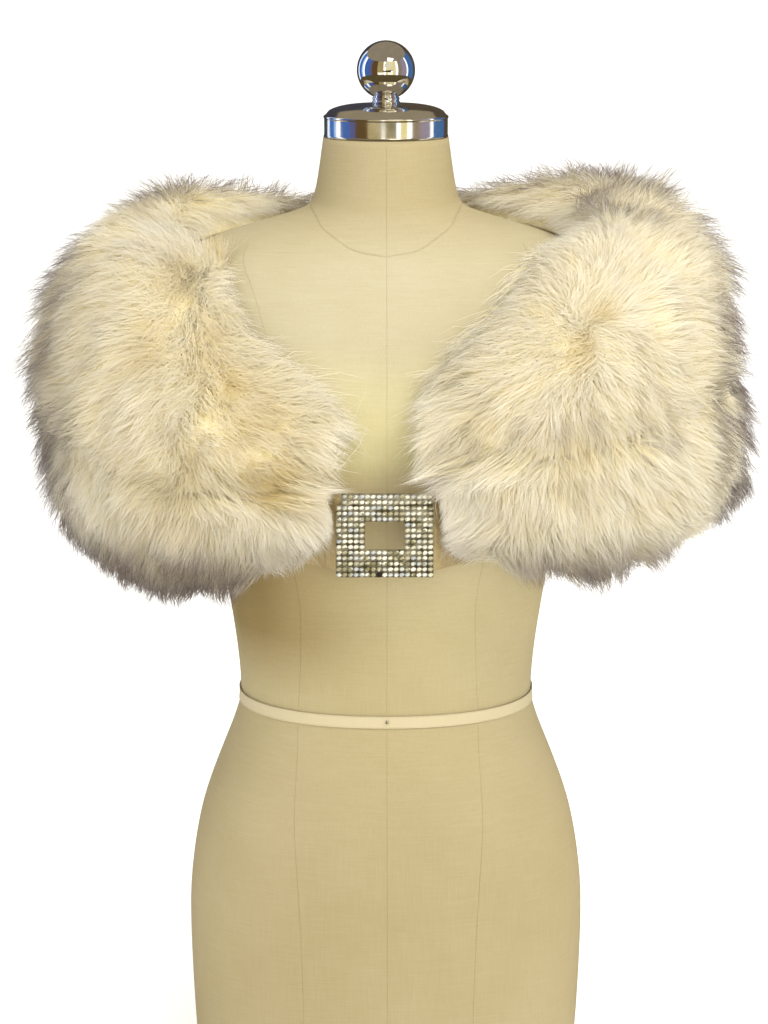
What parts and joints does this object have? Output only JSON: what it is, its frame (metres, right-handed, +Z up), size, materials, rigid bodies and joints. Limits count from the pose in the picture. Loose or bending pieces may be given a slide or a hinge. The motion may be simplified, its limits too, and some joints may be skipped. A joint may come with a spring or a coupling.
{
  "type": "fur collar wrap on a dress form",
  "caption": "Ivory long-haired fur collar wrap, closed in front with a square stone-set buckle, on a limbless linen dress form with a metal neck cap and ball finial.",
  "frame": {"origin": "centre of the base board's underside, which stands on the floor", "axes": "+Z up, -Y towards the front and the buckle, +X towards the viewer's right"},
  "size_m": [0.5952, 0.341, 0.9019],
  "materials": {
    "fur": "ivory long-haired fur on a supple hide",
    "satin": "cream satin",
    "linen": "natural linen, tightly stretched",
    "cotton_tape": "cotton twill tape",
    "board": "plain board",
    "cap_metal": "polished steel",
    "chrome": "mirror chrome",
    "buckle_metal": "silver setting with clear stones"
  },
  "bodies": {
    "root": {"form_body": "linen", "base_board": "board", "waist_tape": "cotton_tape", "neck_cap": "cap_metal", "finial_stem": "chrome", "finial_ball": "chrome", "pelt_upper_right": "fur", "pelt_upper_left": "fur", "pelt_lower_right": "fur", "pelt_lower_left": "fur", "end_tab_right": "satin", "end_tab_left": "satin", "buckle_frame": "buckle_metal"}
  },
  "joints": []
}
